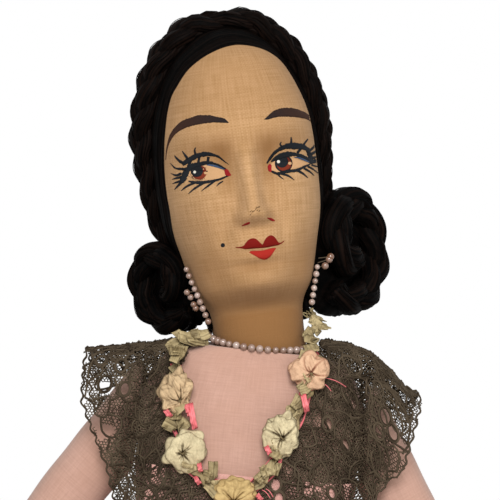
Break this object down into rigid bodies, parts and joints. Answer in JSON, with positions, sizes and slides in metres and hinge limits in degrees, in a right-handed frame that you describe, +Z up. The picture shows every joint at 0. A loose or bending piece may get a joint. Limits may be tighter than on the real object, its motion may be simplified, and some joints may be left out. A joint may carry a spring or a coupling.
{
  "type": "boudoir doll",
  "caption": "Seated cloth boudoir doll: pressed linen face, coiled braid buns, bead jewellery, lace collar edged with ribbon flowers, and stuffed limbs that swing on stitched seams.",
  "frame": {"origin": "middle of the flat seat face under the torso", "axes": "+Z up through the torso, -Y the way the doll faces, +X to the doll's left"},
  "size_m": [0.3196, 0.4359, 0.3552],
  "materials": {
    "pink_cotton": "napped pink cotton, matt",
    "wadding": "loose cotton wadding",
    "linen": "tan plain-weave linen, painted features",
    "hair": "brown-black silk floss hair",
    "beads": "pearly glass beads on thread",
    "lace": "dark taupe corded net lace",
    "slip_cotton": "pink cotton voile",
    "leaf_ribbon": "olive silk ribbon",
    "petal_ribbon": "cream and peach silk ribbon",
    "shoe_felt": "dark brown felt",
    "wood": "turned beech, waxed"
  },
  "bodies": {
    "torso": {"torso_cover": "pink_cotton", "torso_stuffing": "wadding", "neck_dowel": "wood", "face_mask": "linen", "head_back_cover": "linen", "head_stuffing": "wadding", "hair_cap": "hair", "crown_braid": "hair", "bun_right": "hair", "bun_left": "hair", "pearl_necklace": "beads", "slip_bodice": "slip_cotton", "lace_collar": "lace", "garland_right": "leaf_ribbon", "garland_left": "leaf_ribbon", "ribbon_flower_upper_right": "petal_ribbon", "ribbon_flower_lower_right": "petal_ribbon", "ribbon_flower_bottom": "petal_ribbon", "ribbon_flower_lower_left": "petal_ribbon", "ribbon_flower_upper_left": "petal_ribbon"},
    "upper_arm_right": {"upper_arm_cover_right": "pink_cotton", "upper_arm_stuffing_right": "wadding", "lace_sleeve_right": "lace"},
    "forearm_right": {"forearm_cover_right": "pink_cotton", "forearm_stuffing_right": "wadding"},
    "thigh_right": {"thigh_cover_right": "pink_cotton", "thigh_stuffing_right": "wadding", "slip_leg_right": "slip_cotton"},
    "shin_right": {"shin_cover_right": "pink_cotton", "shin_stuffing_right": "wadding", "shoe_right": "shoe_felt", "heel_right": "wood"},
    "earring_right": {"earring_right": "beads"},
    "upper_arm_left": {"upper_arm_cover_left": "pink_cotton", "upper_arm_stuffing_left": "wadding", "lace_sleeve_left": "lace"},
    "forearm_left": {"forearm_cover_left": "pink_cotton", "forearm_stuffing_left": "wadding"},
    "thigh_left": {"thigh_cover_left": "pink_cotton", "thigh_stuffing_left": "wadding", "slip_leg_left": "slip_cotton"},
    "shin_left": {"shin_cover_left": "pink_cotton", "shin_stuffing_left": "wadding", "shoe_left": "shoe_felt", "heel_left": "wood"},
    "earring_left": {"earring_left": "beads"}
  },
  "joints": [
    {"name": "shoulder_right", "type": "hinge", "parent": "torso", "child": "upper_arm_right", "pos_m": [-0.0505, 0, 0.17], "axis": [1, 0, 0], "range_deg": [-120, 45]},
    {"name": "elbow_right", "type": "hinge", "parent": "upper_arm_right", "child": "forearm_right", "pos_m": [-0.10195, 0, 0.09373], "axis": [0.829, 0, -0.5592], "range_deg": [-90, 20]},
    {"name": "hip_right", "type": "hinge", "parent": "torso", "child": "thigh_right", "pos_m": [-0.027, -0.04, 0.02634], "axis": [1, 0, 0], "range_deg": [-45, 70]},
    {"name": "knee_right", "type": "hinge", "parent": "thigh_right", "child": "shin_right", "pos_m": [-0.027, -0.20484, 0.019], "axis": [1, 0, 0], "range_deg": [0, 90]},
    {"name": "earring_swing_right", "type": "hinge", "parent": "torso", "child": "earring_right", "pos_m": [-0.0364, -0.0161, 0.2359], "axis": [1, 0, 0], "range_deg": [-35, 0]},
    {"name": "shoulder_left", "type": "hinge", "parent": "torso", "child": "upper_arm_left", "pos_m": [0.0505, 0, 0.17], "axis": [1, 0, 0], "range_deg": [-120, 45]},
    {"name": "elbow_left", "type": "hinge", "parent": "upper_arm_left", "child": "forearm_left", "pos_m": [0.10195, 0, 0.09373], "axis": [0.829, 0, 0.5592], "range_deg": [-90, 20]},
    {"name": "hip_left", "type": "hinge", "parent": "torso", "child": "thigh_left", "pos_m": [0.027, -0.04, 0.02634], "axis": [1, 0, 0], "range_deg": [-45, 70]},
    {"name": "knee_left", "type": "hinge", "parent": "thigh_left", "child": "shin_left", "pos_m": [0.027, -0.20484, 0.019], "axis": [1, 0, 0], "range_deg": [0, 90]},
    {"name": "earring_swing_left", "type": "hinge", "parent": "torso", "child": "earring_left", "pos_m": [0.0218, -0.0099, 0.2432], "axis": [1, 0, 0], "range_deg": [-35, 0]}
  ]
}
